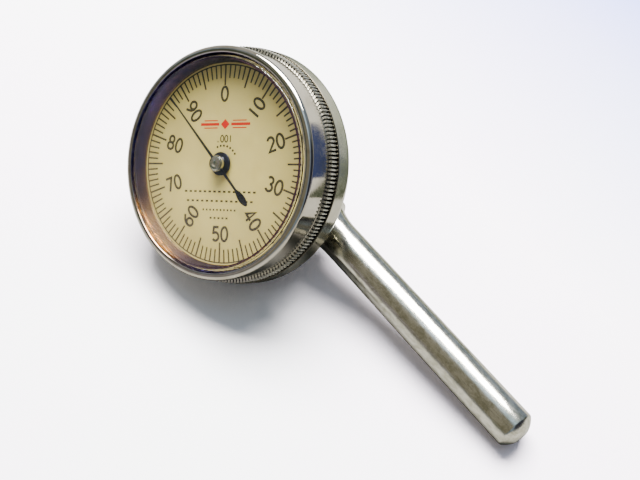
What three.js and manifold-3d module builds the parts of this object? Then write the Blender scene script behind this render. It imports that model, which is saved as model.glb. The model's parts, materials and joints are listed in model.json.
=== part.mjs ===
// Back-plunger dial indicator with a plain round holding stem, in millimetres.
//
// The instrument is drawn with its dial looking along +z: the dial's front face is
// z = 0, 12 o'clock is +y and 3 o'clock is +x, and the plunger runs down the -z axis.
// The outer group then lays it down, on its stem's end, case rim and contact point,
// on the floor z = 0.

import * as THREE from 'three';
import { mergeVertices } from 'three/addons/utils/BufferGeometryUtils.js';
import Module from 'manifold-3d';

const wasm = await Module();
wasm.setup();

// ---------------------------------------------------------------- driving dimensions

const ROUND = 48;          // facets round the big turned parts
const STEM_ROUND = 32;     // facets round the stem
const SMALL_ROUND = 20;    // facets round the small ones
const PLUNGER_ROUND = 32;  // facets round the plunger and its bore
const TINY_ROUND = 10;     // facets round pivots and screws
const FIT = 0.05;          // gap between pieces pressed or screwed together

// Dial, bezel and crystal
const dialThickness = 0.5;
const dialRadius = 16.5;
const dialHole = 1.4;
const dialSight = 15.95;       // radius of the dial that shows inside the bezel
const bezelRadius = 18.4;
const bezelCrest = 2.88;
const bezelBack = -3.6;
const bezelBore = 17.02;
const knurlRidges = 190;
const knurlRoot = 18.68;
const knurlTip = 18.98;

// Case
const caseRadius = 19.15;
const caseShoulder = -3.75;
const caseBack = -8.2;
const caseFloor = -6.25;
const caseEdge = 2.0;          // rounding of the back rim
const neckRadius = 16.95;
const neckInner = 15.6;
const neckFront = -1.2;

// Rear housing, stem and barrel
const housingRadius = 10.2;
const housingInner = 8.8;
const housingBack = -18.2;
const housingFloor = -16.8;
const flangeRadius = 16.4;
const flangeThickness = 0.9;
const stemRadius = 3.175;
const stemDepth = -14.27;      // height of the stem's axis behind the dial
const stemAngle = -40.24;      // degrees from 3 o'clock, below it
const stemReach = 58.8;        // from the dial's axis to the edge of the domed end
const stemDome = 1.6;
const stemPip = 1.2;           // radius of the flat left at the middle of the dome
const barrelRadius = 3.175;
const barrelSeat = -17.9;      // the barrel's shoulder sits in a shallow recess in the housing
const barrelEnd = -22.4;

// Plunger and its rack
const plungerRadius = 1.5;
const plungerTop = -11.6;
const plungerEnd = -26.2;
const contactTip = -28.0;
const rackPitch = 11.43 / 12;  // one pointer turn is 2.54 mm of travel
const rackLine = 0.9;          // distance of the rack's pitch line from the plunger's axis
const travel = 5.08;

// Movement
const plateRadius = 15.3;
const plateThickness = 0.8;
const frontPlateFront = -1.3;
const rearPlateFront = -5.4;
const pillarRing = 14.2;
const pinionTeeth = 12;
const gearTeeth = 36;
const crownTeeth = 24;
const crownPinionTeeth = 16;
const trainModule = 0.25;
const crownModule = 0.275;
const shaftDepth = -12.9;      // the cross shaft's height

// Resting posture: tilt of the dial's axis from upright, and slope of the stem to the floor
const dialTilt = 48.368;
const stemSlope = 6.151;

// ---------------------------------------------------------------- helpers

const radians = THREE.MathUtils.degToRad;
const group = new THREE.Group();
const instrument = new THREE.Group();
group.add(instrument);

function closed(geometry) {
  geometry.deleteAttribute('normal');
  geometry.deleteAttribute('uv');
  const shell = mergeVertices(geometry, 1e-5);
  const kept = [];
  const index = shell.index.array;
  for (let i = 0; i < index.length; i += 3) {
    const [a, b, c] = [index[i], index[i + 1], index[i + 2]];
    if (a !== b && b !== c && c !== a) kept.push(a, b, c);
  }
  shell.setIndex(kept);
  return shell;
}

function solid(geometry) {
  const shell = closed(geometry);
  return new wasm.Manifold(new wasm.Mesh({
    numProp: 3,
    vertProperties: new Float32Array(shell.attributes.position.array),
    triVerts: new Uint32Array(shell.index.array),
  }));
}

function geometryOf(body) {
  const mesh = body.getMesh();
  const geometry = new THREE.BufferGeometry();
  geometry.setAttribute('position', new THREE.Float32BufferAttribute(mesh.vertProperties, 3));
  geometry.setIndex(Array.from(mesh.triVerts));
  return geometry;
}

function joined(first, ...others) {
  return geometryOf(others.reduce((sum, next) => sum.add(solid(next)), solid(first)));
}

function cut(base, ...tools) {
  return geometryOf(tools.reduce((rest, tool) => rest.subtract(solid(tool)), solid(base)));
}

// A turned solid about z from a profile of [radius, z] points, listed from the back up the
// outside. A ring's profile is closed by repeating its first point.
function turned(profile, facets = ROUND) {
  const points = profile.map(([r, z]) => new THREE.Vector2(r, z));
  return new THREE.LatheGeometry(points, facets).rotateX(Math.PI / 2);
}

function turnedRing(profile, facets = ROUND) {
  return turned([...profile, profile[0]], facets);
}

function rod(radius, from, to, facets = SMALL_ROUND) {
  return turned([[0, from], [radius, from], [radius, to], [0, to]], facets);
}

function tube(inner, outer, from, to, facets = SMALL_ROUND) {
  return turnedRing([[inner, from], [outer, from], [outer, to], [inner, to]], facets);
}

function box(x, y, z, width, depth, height) {
  return new THREE.BoxGeometry(width, depth, height).translate(x, y, z);
}

// Points of an arc in a profile, about [r, z], from one angle to another in degrees.
function arc(r, z, radius, from, to, steps) {
  return Array.from({ length: steps + 1 }, (_, i) => {
    const angle = radians(from + (to - from) * i / steps);
    return [r + radius * Math.cos(angle), z + radius * Math.sin(angle)];
  });
}

function polar(radius, degrees) {
  return [radius * Math.cos(radians(degrees)), radius * Math.sin(radians(degrees))];
}

function add(name, geometry, material, place = (mesh) => mesh) {
  const mesh = new THREE.Mesh(geometry, material.clone());
  mesh.name = name;
  instrument.add(place(mesh));
  return mesh;
}

function at(x, y, z = 0) {
  return (mesh) => {
    mesh.position.set(x, y, z);
    return mesh;
  };
}

function finish(color, metalness, roughness, extra = {}) {
  return new THREE.MeshStandardMaterial({ color, metalness, roughness, ...extra });
}

const polished = finish(0xc9c8c4, 1, 0.12);
const satin = finish(0xa9a7a1, 1, 0.35);
const stemSteel = finish(0xb4b0a6, 1, 0.28);
const hardened = finish(0x8d8d8f, 1, 0.25);
const brass = finish(0xc0a050, 1, 0.3);
const blued = finish(0x15171c, 0.6, 0.4);
const printedDial = finish(0xcdc09b, 0, 0.6);
const clear = finish(0xf4f6f4, 0, 0.05, { transparent: true, opacity: 0.3 });
const ruby = finish(0x8f1b2f, 0, 0.2);

// ---------------------------------------------------------------- head

function bezelRing() {
  const ring = turnedRing([
    [bezelBore, bezelBack],
    [bezelRadius, bezelBack],
    [18.65, -3.5],
    [18.65, -2.0],
    [18.05, -1.8],
    [18.05, -1.4],
    [bezelRadius, -1.25],
    [18.5, -1.1],
    [bezelRadius, -0.95],
    ...arc(17.7, 2.18, 0.7, 0, 90, 3),
    ...arc(17.5, 2.5, 0.38, 110, 180, 2),
    [dialSight, 0.04],
    [16.6, 0.04],
    [16.6, -0.52],
    [17.2, -0.52],
    [17.2, -1.05],
    [bezelBore, -1.05],
    [bezelBore, -2.25],
    [17.35, -2.25],
    [17.35, -2.95],
    [bezelBore, -2.95],
  ]);
  return joined(ring, knurlBand(-3.45, -2.05));
}

// The coin edge: a ring with one ridge for each pitch.
function knurlBand(from, to) {
  const outline = new THREE.Shape();
  for (let i = 0; i < knurlRidges * 2; i += 1) {
    const radius = i % 2 ? knurlTip : knurlRoot;
    const angle = i * Math.PI / knurlRidges;
    const point = [radius * Math.cos(angle), radius * Math.sin(angle)];
    if (i === 0) outline.moveTo(...point);
    else outline.lineTo(...point);
  }
  outline.closePath();
  outline.holes.push(new THREE.Path().absarc(0, 0, 18.35, 0, Math.PI * 2, true));
  const depth = to - from;
  return new THREE.ExtrudeGeometry(outline, { depth, bevelEnabled: false, curveSegments: 20 })
    .translate(0, 0, from);
}

function caseBody() {
  const body = turnedRing([
    [housingInner, caseBack],
    ...arc(caseRadius - caseEdge, caseBack + caseEdge, caseEdge, -90, 0, 4),
    ...arc(caseRadius - 0.5, caseShoulder - 0.5, 0.5, 0, 90, 2),
    [neckRadius, caseShoulder],
    [neckRadius, -2.95],
    [16.5, -2.95],
    [16.5, -2.25],
    [neckRadius, -2.25],
    [neckRadius, neckFront],
    [neckInner, neckFront],
    [neckInner, caseFloor],
    [housingInner, caseFloor],
  ]);
  const holes = backScrewPlaces().map(([x, y]) => (
    rod(0.55, caseBack - 1, caseFloor + 1, TINY_ROUND).translate(x, y, 0)));
  return cut(body, ...holes);
}

// A spring ring in the groove shared by the bezel and the case's neck, split at one side.
function bezelSpring() {
  const gap = radians(8);
  const outline = new THREE.Shape();
  outline.absarc(0, 0, 17.25, gap, Math.PI * 2 - gap, false);
  outline.absarc(0, 0, 16.6, Math.PI * 2 - gap, gap, true);
  outline.closePath();
  return new THREE.ExtrudeGeometry(outline, { depth: 0.6, bevelEnabled: false, curveSegments: 24 })
    .translate(0, 0, -2.9);
}

function crystal() {
  return turned([
    [0, 2.3],
    [16.0, 1.98],
    [16.78, 1.98],
    [16.78, 2.12],
    ...arc(16.05, 2.05, 0.62, 25, 80, 3),
    [9, 2.98],
    [0, 3.1],
  ]);
}

function dialPlate() {
  return tube(dialHole, dialRadius, -dialThickness, 0, ROUND);
}

function dialClip() {
  return tube(15.7, 17.1, -1.0, -0.57, ROUND);
}

add('bezel_ring', bezelRing(), polished);
add('crystal', crystal(), clear);
add('dial_plate', dialPlate(), printedDial);
add('dial_clip', dialClip(), hardened);
add('bezel_spring', bezelSpring(), hardened);
add('case_body', caseBody(), satin);

// ---------------------------------------------------------------- rear housing and stem

function backScrewPlaces() {
  return [60, 180, 300].map((degrees) => polar(pillarRing, degrees));
}

function housing() {
  const front = caseBack - FIT;
  const flangeBack = front - flangeThickness;
  const cup = turnedRing([
    [housingInner, front],
    [housingInner, -15.0],
    [6.95, housingFloor],
    [2.65, housingFloor],
    [2.65, barrelSeat],
    [barrelRadius + 0.03, barrelSeat],
    [barrelRadius + 0.03, housingBack],
    [8.0, housingBack],
    [8.3, housingBack + 0.1],
    [housingRadius - 0.1, -16.2],
    [housingRadius, -15.9],
    [housingRadius, flangeBack - 0.4],
    [housingRadius + 0.4, flangeBack],
    [flangeRadius - 0.3, flangeBack],
    [flangeRadius, flangeBack + 0.3],
    [flangeRadius, front],
  ]);
  const holes = backScrewPlaces().map(([x, y]) => (
    rod(0.55, flangeBack - 1, front + 1, TINY_ROUND).translate(x, y, 0)));
  const seat = alongStem(rod(2.65, 7, 15));
  return cut(cup, ...holes, seat);
}

// Lays a part turned about z along the stem's axis, with z as the distance from the dial's axis.
function alongStem(geometry) {
  return geometry.rotateY(Math.PI / 2).rotateZ(radians(stemAngle)).translate(0, 0, stemDepth);
}

function stem() {
  const domeRadius = (stemRadius ** 2 + stemDome ** 2) / (2 * stemDome);
  const domeCentre = stemReach + stemDome - domeRadius;
  const rim = THREE.MathUtils.radToDeg(Math.asin(stemRadius / domeRadius));
  const pip = THREE.MathUtils.radToDeg(Math.asin(stemPip / domeRadius));
  const dome = arc(0, domeCentre, domeRadius, 90 - rim, 90 - pip, 5);
  const root = Array.from({ length: 7 }, (_, i) => {
    const angle = radians(90 * i / 6);
    return [stemRadius + 1.45 * (1 - Math.sin(angle)), 13.4 + 4.6 * (1 - Math.cos(angle))];
  });
  const turnedStem = alongStem(turned([
    [0, 9.0],
    [2.6, 9.0],
    [2.6, 9.8],
    [stemRadius + 1.45, 9.8],
    ...root,
    ...dome,
    [0, domeCentre + domeRadius * Math.cos(radians(pip))],
  ], STEM_ROUND));
  const wall = rod(housingRadius + 0.15, -30, 0, ROUND);
  const core = alongStem(rod(2.6, 8.95, 11.5, STEM_ROUND));
  return joined(cut(turnedStem, wall), core);
}

function barrel() {
  const bore = plungerRadius + 0.06;
  return turnedRing([
    [bore, barrelEnd],
    [barrelRadius - 0.3, barrelEnd],
    [barrelRadius, barrelEnd + 0.3],
    [barrelRadius, barrelSeat - FIT],
    [2.6, barrelSeat - FIT],
    [2.6, housingFloor + 0.3],
    [bore, housingFloor + 0.3],
  ], PLUNGER_ROUND);
}

add('rear_housing', housing(), satin);
add('holding_stem', stem(), stemSteel);
add('plunger_barrel', barrel(), hardened);

// ---------------------------------------------------------------- plunger

// The space left by the rack, as one comb along z, cut from the plunger's -y side. Its first
// groove runs out at the plunger's top.
function rackComb() {
  const tip = -(rackLine + 0.22);
  const root = -(rackLine - 0.3);
  const tipHalf = 0.36;
  const rootHalf = 0.22;
  const first = shaftDepth - travel - 1.9;
  const last = plungerTop + 0.5;
  const comb = new THREE.Shape();
  comb.moveTo(first, -3);
  comb.lineTo(last, -3);
  comb.lineTo(last, root);
  for (let z = shaftDepth + rackPitch; z > first + tipHalf; z -= rackPitch) {
    if (z < shaftDepth + rackPitch) {
      comb.lineTo(z + tipHalf, tip);
      comb.lineTo(z + rootHalf, root);
    }
    comb.lineTo(z - rootHalf, root);
    comb.lineTo(z - tipHalf, tip);
  }
  comb.lineTo(first, tip);
  comb.closePath();
  return new THREE.ExtrudeGeometry(comb, { depth: 4, bevelEnabled: false })
    .translate(0, 0, -2)
    .rotateY(-Math.PI / 2);
}

const guidePinDepth = -12.4;

function plunger() {
  const shank = turned([
    [0, plungerEnd],
    [plungerRadius, plungerEnd],
    [plungerRadius, plungerTop - 0.2],
    [plungerRadius - 0.2, plungerTop],
    [0, plungerTop],
  ], PLUNGER_ROUND);
  const socket = rod(0.75, plungerEnd - 1, plungerEnd + 1.7, TINY_ROUND);
  const pinHole = rod(0.45, -0.4, 4, TINY_ROUND).rotateX(-Math.PI / 2)
    .translate(0, 0, guidePinDepth);
  return cut(shank, rackComb(), socket, pinHole);
}

function contactPoint() {
  const ball = 1.0;
  return turned([
    ...arc(0, contactTip + ball, ball, -90, 30, 6),
    [1.4, contactTip + 1.75 - 0.15],
    [1.4, plungerEnd - FIT],
    [0.7, plungerEnd - FIT],
    [0.7, plungerEnd + 1.6],
    [0, plungerEnd + 1.6],
  ], SMALL_ROUND);
}

function guidePin() {
  return rod(0.4, -0.35, 6.2, TINY_ROUND).rotateX(-Math.PI / 2).translate(0, 0, guidePinDepth);
}

// A post on the housing floor whose slot keeps the guide pin, and so the plunger, from turning.
function guidePost() {
  const top = -6.75;
  const bottom = housingFloor + FIT;
  const middle = (top + bottom) / 2;
  const post = box(0, 5.7, middle, 2.2, 1.6, top - bottom);
  const slot = box(0, 5.7, middle + 2, 0.96, 3, top - bottom);
  return cut(post, slot);
}

class Helix extends THREE.Curve {
  constructor(radius, length, turns) {
    super();
    this.radius = radius;
    this.length = length;
    this.turns = turns;
  }

  getPoint(t, target = new THREE.Vector3()) {
    const angle = t * this.turns * Math.PI * 2;
    return target.set(this.radius * Math.cos(angle), this.radius * Math.sin(angle), t * this.length);
  }
}

const springPlace = [0, 3.6];

function returnSpring() {
  const bottom = housingFloor + 0.35;
  const top = guidePinDepth - 0.6;
  const wire = new THREE.Shape().absarc(0, 0, 0.12, 0, Math.PI * 2, false);
  const turns = 8;
  const extrudePath = new Helix(0.8, top - bottom, turns);
  return new THREE.ExtrudeGeometry(wire, { steps: turns * 10, curveSegments: 3, extrudePath })
    .translate(...springPlace, bottom);
}

add('plunger', plunger(), hardened);
add('contact_point', contactPoint(), hardened);
add('guide_pin', guidePin(), hardened);
add('guide_post', guidePost(), brass);
add('return_spring', returnSpring(), hardened);
add('spring_anchor', rod(0.45, housingFloor + FIT, housingFloor + 1.4, TINY_ROUND), hardened,
  at(...springPlace));

// ---------------------------------------------------------------- gears

// A toothed outline. The tooth is a trapezium: its width is given at the pitch circle.
function toothed({ teeth, pitchRadius, addendum, dedendum, width, phase = 0, bore }) {
  const outline = new THREE.Shape();
  const tip = pitchRadius + addendum;
  const root = pitchRadius - dedendum;
  const corners = [
    [root, -width * 0.62],
    [tip, -width * 0.28],
    [tip, width * 0.28],
    [root, width * 0.62],
  ];
  for (let i = 0; i < teeth; i += 1) {
    const centre = radians(phase) + i * Math.PI * 2 / teeth;
    corners.forEach(([radius, offset], corner) => {
      const angle = centre + offset / radius;
      const point = [radius * Math.cos(angle), radius * Math.sin(angle)];
      if (i === 0 && corner === 0) outline.moveTo(...point);
      else outline.lineTo(...point);
    });
  }
  outline.closePath();
  outline.holes.push(new THREE.Path().absarc(0, 0, bore, 0, Math.PI * 2, true));
  return outline;
}

function gear(outline, from, to) {
  return new THREE.ExtrudeGeometry(outline, { depth: to - from, bevelEnabled: false, curveSegments: 8 })
    .translate(0, 0, from);
}

const arborRadius = 0.4;
const arborBore = arborRadius + FIT;
const trainDistance = trainModule * (pinionTeeth + gearTeeth) / 2;
const trainTooth = {
  addendum: trainModule * 0.8,
  dedendum: trainModule * 1.12,
  width: trainModule * Math.PI * 0.36,
  bore: arborBore,
};
const crownRadius = crownModule * crownTeeth / 2;
const crownPinionRadius = crownModule * crownPinionTeeth / 2;
const rackPinionRadius = rackPitch * pinionTeeth / (2 * Math.PI);
const shaftOffset = -(rackLine + rackPinionRadius);
const intermediateX = Math.sqrt(trainDistance ** 2 - shaftOffset ** 2);
const intermediateAngle = THREE.MathUtils.radToDeg(Math.atan2(shaftOffset, intermediateX));
const crownPitchPlane = intermediateX - crownPinionRadius;

function centrePinion() {
  return gear(toothed({
    ...trainTooth,
    teeth: pinionTeeth,
    pitchRadius: trainModule * pinionTeeth / 2,
    phase: intermediateAngle,
  }), -4.8, -2.6);
}

// A gear with a gap towards the centre pinion.
function trainGear(towardsCentre) {
  return gear(toothed({
    ...trainTooth,
    teeth: gearTeeth,
    pitchRadius: trainModule * gearTeeth / 2,
    phase: towardsCentre + 180 / gearTeeth,
  }), -3.7, -3.1);
}

function crownPinion() {
  return gear(toothed({
    teeth: crownPinionTeeth,
    pitchRadius: crownPinionRadius,
    addendum: crownModule * 0.7,
    dedendum: crownModule * 1.1,
    width: crownModule * Math.PI * 0.36,
    phase: 180,
    bore: arborBore,
  }), shaftDepth + crownRadius - 0.5, shaftDepth + crownRadius + 0.5);
}

function rackPinion() {
  const outline = toothed({
    teeth: pinionTeeth,
    pitchRadius: rackPinionRadius,
    addendum: 0.2,
    dedendum: 0.32,
    width: rackPitch * 0.36,
    phase: 90,
    bore: 0.55,
  });
  return gear(outline, -1.4, 1.4).rotateX(Math.PI / 2).rotateZ(Math.PI / 2).rotateX(Math.PI / 2);
}

// A wheel with teeth standing on its face, towards +x, with a gap at its front-most point.
function crownWheel() {
  const back = crownPitchPlane - 0.9;
  const face = crownPitchPlane - 0.28;
  const tip = crownPitchPlane + 0.2;
  const disc = tube(0.55, crownRadius + 0.3, back, face, SMALL_ROUND).rotateY(Math.PI / 2);
  const teeth = Array.from({ length: crownTeeth }, (_, i) => {
    const length = tip - face + 0.1;
    return box(tip - length / 2, 0, crownRadius, length, 0.27, 0.6)
      .rotateX((i + 0.5) * Math.PI * 2 / crownTeeth);
  });
  return joined(disc, ...teeth);
}

function crossShaft() {
  return turned([
    [0, -4.95],
    [0.35, -4.95],
    [0.35, -3.9],
    [0.5, -3.9],
    [0.5, 4.1],
    [0.35, 4.1],
    [0.35, 5.15],
    [0, 5.15],
  ], SMALL_ROUND).rotateY(Math.PI / 2);
}

function shaftPost(x) {
  const bottom = housingFloor + FIT;
  const top = shaftDepth + 1.2;
  const post = box(x, shaftOffset, (top + bottom) / 2, 1.0, 2.2, top - bottom);
  const bore = rod(0.4, -3, 3, TINY_ROUND).rotateY(Math.PI / 2)
    .translate(x, shaftOffset, shaftDepth);
  return cut(post, bore);
}

// Rear pivots run in the rear plate, front ones in the front plate.
function arbor(from, to, shoulderFrom, shoulderTo, pivot = 0.25) {
  return turned([
    [0, from],
    [pivot, from],
    [pivot, shoulderFrom],
    [arborRadius, shoulderFrom],
    [arborRadius, shoulderTo],
    [pivot, shoulderTo],
    [pivot, to],
    [0, to],
  ], TINY_ROUND);
}

const onShaft = at(0, shaftOffset, shaftDepth);
const intermediatePlace = [intermediateX, shaftOffset];
const takeUpPlace = [-intermediateX, -shaftOffset];

add('cross_shaft', crossShaft(), hardened, onShaft);
add('rack_pinion', rackPinion(), brass, onShaft);
add('crown_wheel', crownWheel(), brass, onShaft);
add('shaft_post_left', shaftPost(-4.45), brass);
add('shaft_post_right', shaftPost(4.65), brass);
add('intermediate_arbor', arbor(-10.2, -1.6, -10.2, -2.15), hardened, at(...intermediatePlace));
add('intermediate_pinion', crownPinion(), brass, at(...intermediatePlace));
add('intermediate_gear', trainGear(intermediateAngle + 180), brass, at(...intermediatePlace));
add('centre_arbor', arbor(-6.1, 1.5, -5.35, 1.5), hardened);
add('centre_pinion', centrePinion(), hardened);
add('takeup_arbor', arbor(-6.1, -1.6, -5.35, -2.15), hardened, at(...takeUpPlace));
add('takeup_gear', trainGear(intermediateAngle), brass, at(...takeUpPlace));

// A flat spiral from the take-up arbor's collet out to a stud on the rear plate.
function hairspring() {
  const turns = 4;
  const steps = turns * 14;
  const inner = 0.75;
  const pitch = 0.55;
  const wire = 0.1;
  const edge = (offset) => Array.from({ length: steps + 1 }, (_, i) => {
    const share = i / steps;
    const angle = share * turns * Math.PI * 2;
    const radius = inner + pitch * turns * share + offset;
    return new THREE.Vector2(radius * Math.cos(angle), radius * Math.sin(angle));
  });
  const outline = new THREE.Shape([...edge(wire / 2), ...edge(-wire / 2).reverse()]);
  return new THREE.ExtrudeGeometry(outline, { depth: 0.4, bevelEnabled: false })
    .translate(0, 0, -4.9);
}

add('hairspring', hairspring(), brass, at(...takeUpPlace));
add('hairspring_collet', tube(arborBore, 0.62, -5.0, -4.3, TINY_ROUND), brass, at(...takeUpPlace));
add('hairspring_stud', rod(0.35, rearPlateFront + FIT, -4.3, TINY_ROUND), brass,
  at(takeUpPlace[0] + 0.75 + 0.55 * 4 + 0.45, takeUpPlace[1]));

// ---------------------------------------------------------------- plates, pillars and screws

function plate(front, holes) {
  const outline = new THREE.Shape().absarc(0, 0, plateRadius, 0, Math.PI * 2, false);
  holes.forEach(([x, y, radius]) => {
    outline.holes.push(new THREE.Path().absarc(x, y, radius, 0, Math.PI * 2, true));
  });
  return new THREE.ExtrudeGeometry(outline, { depth: plateThickness, bevelEnabled: false, curveSegments: 10 })
    .translate(0, 0, front - plateThickness);
}

const screwHoles = backScrewPlaces().map(([x, y]) => [x, y, 0.55]);
const bushHole = 1.05;

add('front_plate', plate(frontPlateFront, [
  ...screwHoles,
  [0, 0, bushHole],
  [...intermediatePlace, 0.32],
  [...takeUpPlace, 0.32],
]), brass);
add('rear_plate', plate(rearPlateFront, [
  ...screwHoles,
  [0, 0, bushHole],
  [...intermediatePlace, 0.46],
  [...takeUpPlace, 0.32],
]), brass);
add('centre_bush_front', tube(0.46, 1.0, frontPlateFront - plateThickness, frontPlateFront), ruby);
add('centre_bush_rear', tube(0.32, 1.0, rearPlateFront - plateThickness, rearPlateFront), ruby);

function pillar() {
  const back = rearPlateFront + FIT;
  const front = frontPlateFront - plateThickness - FIT;
  const post = rod(0.9, back, front);
  const frontHole = rod(0.5, front - 1.2, front + 1, TINY_ROUND);
  const backHole = rod(0.5, back - 1, back + 1.2, TINY_ROUND);
  return cut(post, frontHole, backHole);
}

// A slotted cheese-head screw, pointing along -z, its head resting on z = 0.
function screw(headRadius, headHeight, shankRadius, length) {
  const blank = turned([
    [0, -length],
    [shankRadius, -length],
    [shankRadius, FIT],
    [headRadius, FIT],
    [headRadius, headHeight - 0.1],
    [headRadius - 0.1, headHeight],
    [0, headHeight],
  ], TINY_ROUND);
  return cut(blank, box(0, 0, headHeight, headRadius * 3, 0.22, 0.4));
}

const flangeBackFace = caseBack - FIT - flangeThickness;

backScrewPlaces().forEach(([x, y], i) => {
  const number = i + 1;
  add(`pillar_${number}`, pillar(), brass, at(x, y));
  add(`front_screw_${number}`, screw(0.8, 0.4, 0.45, 1.8), hardened, at(x, y, frontPlateFront));
  add(`back_screw_${number}`, screw(0.95, 0.5, 0.45, 4.6).rotateX(Math.PI), hardened,
    at(x, y, flangeBackFace));
});

// ---------------------------------------------------------------- pointer

const pointerReading = 88;     // hundredths of a turn clockwise from 12 o'clock
const hubBottom = 0.3;
const hubFlange = 1.85;
const hubRadius = 1.25;

// A slim needle with a spear-shaped counterweight on its tail, drawn along +x.
function pointer() {
  const needle = new THREE.Shape();
  needle.moveTo(14.7, 0.07);
  needle.lineTo(1.2, 0.3);
  needle.lineTo(-5.7, 0.22);
  needle.quadraticCurveTo(-6.4, 0.5, -7.3, 0.62);
  needle.quadraticCurveTo(-8.3, 0.62, -8.95, 0.15);
  needle.lineTo(-8.95, -0.15);
  needle.quadraticCurveTo(-8.3, -0.62, -7.3, -0.62);
  needle.quadraticCurveTo(-6.4, -0.5, -5.7, -0.22);
  needle.lineTo(1.2, -0.3);
  needle.lineTo(14.7, -0.07);
  needle.closePath();
  const blade = new THREE.ExtrudeGeometry(needle, { depth: 0.16, bevelEnabled: false, curveSegments: 4 })
    .translate(0, 0, 1.4);
  const hub = turned([
    [0, hubBottom],
    [hubFlange, hubBottom],
    [hubFlange, 0.6],
    [hubRadius, 0.85],
    [hubRadius, 1.75],
    [0, 1.75],
  ]);
  const bore = rod(arborBore, 0, 1.6, TINY_ROUND);
  return cut(joined(blade, hub), bore).rotateZ(radians(90 - pointerReading * 3.6));
}

function pointerCap() {
  return turned([[0, 1.8], [1.1, 1.8], [1.1, 1.95], [0.95, 2.05], [0, 2.12]], SMALL_ROUND);
}

add('pointer', pointer(), blued);
add('pointer_cap', pointerCap(), hardened);

// ---------------------------------------------------------------- resting posture

// Turns the instrument so that the dial's axis leans by dialTilt from upright and the stem
// runs down to its end by stemSlope, and sets it on the floor with its box over the origin.
function layDown() {
  const axisUp = Math.cos(radians(dialTilt));
  const stemUp = -Math.sin(radians(stemSlope));
  const stemDirection = new THREE.Vector3(...polar(1, stemAngle), 0);
  const across = new THREE.Vector3(0, 0, 1).cross(stemDirection);
  const up = new THREE.Vector3(0, 0, axisUp)
    .addScaledVector(stemDirection, stemUp)
    .addScaledVector(across, Math.sqrt(1 - axisUp ** 2 - stemUp ** 2));
  const along = stemDirection.clone().addScaledVector(up, -stemUp).normalize();
  const side = up.clone().cross(along);
  const turn = new THREE.Matrix4().makeBasis(along, side, up).transpose();
  instrument.quaternion.setFromRotationMatrix(turn);
  group.updateMatrixWorld(true);
  const bounds = new THREE.Box3().setFromObject(instrument, true);
  instrument.position.set(
    -(bounds.min.x + bounds.max.x) / 2,
    -(bounds.min.y + bounds.max.y) / 2,
    -bounds.min.z,
  );
}

layDown();

export default group;
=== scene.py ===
"""Looks of the back-plunger dial indicator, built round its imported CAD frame.

Lengths are millimetres in the instrument's own axes until Shape.place() turns them into the
frame: z is the dial's axis, looking out of the dial, y is 12 o'clock and z = 0 is the dial's face.
"""
import json
import math

import bpy
from mathutils import Matrix, Vector


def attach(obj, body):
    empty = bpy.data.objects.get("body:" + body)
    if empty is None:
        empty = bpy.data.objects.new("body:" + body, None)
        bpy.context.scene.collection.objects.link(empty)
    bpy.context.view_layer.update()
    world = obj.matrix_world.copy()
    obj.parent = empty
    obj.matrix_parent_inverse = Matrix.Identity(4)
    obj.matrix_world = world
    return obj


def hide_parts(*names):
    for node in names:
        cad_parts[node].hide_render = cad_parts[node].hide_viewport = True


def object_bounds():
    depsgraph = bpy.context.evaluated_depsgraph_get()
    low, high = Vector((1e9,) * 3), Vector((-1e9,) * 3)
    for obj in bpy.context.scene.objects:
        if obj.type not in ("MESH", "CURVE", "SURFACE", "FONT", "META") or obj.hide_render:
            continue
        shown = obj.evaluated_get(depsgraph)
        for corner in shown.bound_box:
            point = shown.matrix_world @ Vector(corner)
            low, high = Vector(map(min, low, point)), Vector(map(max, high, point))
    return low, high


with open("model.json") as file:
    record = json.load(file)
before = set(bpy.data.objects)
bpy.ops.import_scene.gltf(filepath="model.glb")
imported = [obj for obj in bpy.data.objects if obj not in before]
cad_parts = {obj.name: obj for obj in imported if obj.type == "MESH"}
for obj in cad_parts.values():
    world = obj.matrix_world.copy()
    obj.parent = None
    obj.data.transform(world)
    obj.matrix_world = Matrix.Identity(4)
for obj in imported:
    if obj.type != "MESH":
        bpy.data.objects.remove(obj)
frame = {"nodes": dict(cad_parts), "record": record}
cad_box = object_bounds()

MM = 0.001
TAU = 2 * math.pi

ROUND = 288                            # facets round the large turned pieces
ROUND_STEM = 96
ROUND_SMALL = 64
RIDGES = 190                           # ridges on the knurl
BEZEL_RADIUS = 18.42
BEZEL_BORE = 17.02
BEZEL_BACK = -3.6
CREST = 2.88                           # height of the bezel's crest before the dial
DIAL_RADIUS = 16.5
CASE_RADIUS = 19.15
CASE_SHOULDER = -3.7
CASE_BACK = -8.2
NECK_RADIUS = 16.95
SPRING_BACK = -2.95                    # of the groove for the spring between case and bezel
SPRING_FRONT = -2.25
HOUSING_RADIUS = 10.2
HOUSING_BORE = 8.8
HOUSING_BACK = -18.2
BARREL_SEAT = -17.9                    # floor of the recess that the barrel's shoulder sits in
STEM_RADIUS = 3.175                    # the barrel's radius as well
STEM_BELOW_3 = math.radians(40.24)     # the stem points this far below 3 o'clock
STEM_DEPTH = -14.27                    # height of the stem's axis, behind the dial
STEM_AXES = (Matrix.Translation((0, 0, STEM_DEPTH)) @ Matrix.Rotation(-STEM_BELOW_3, 4, "Z")
             @ Matrix.Rotation(math.pi / 2, 4, "Y"))


# ------------------------------------------------------------------ the instrument's axes

def record_entry(entries, name):
    return next(e for e in entries if e["name"] == name)


def instrument_axes():
    """The matrix from the instrument's axes to the frame's, read from its joints and mounts."""
    bezel = record_entry(frame["record"]["behaviour"]["joints"], "bezel_turn")
    stem = Vector(record_entry(frame["record"]["mounts"], "stem_end")["axis"]).normalized()
    out = Vector(bezel["axis"]).normalized()
    right = Matrix.Rotation(STEM_BELOW_3, 3, out) @ stem
    up = out.cross(right)
    turn = Matrix((right, up, out)).transposed().to_4x4()
    return Matrix.Translation(Vector(bezel["pos_m"])) @ turn


AXES = instrument_axes()


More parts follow.
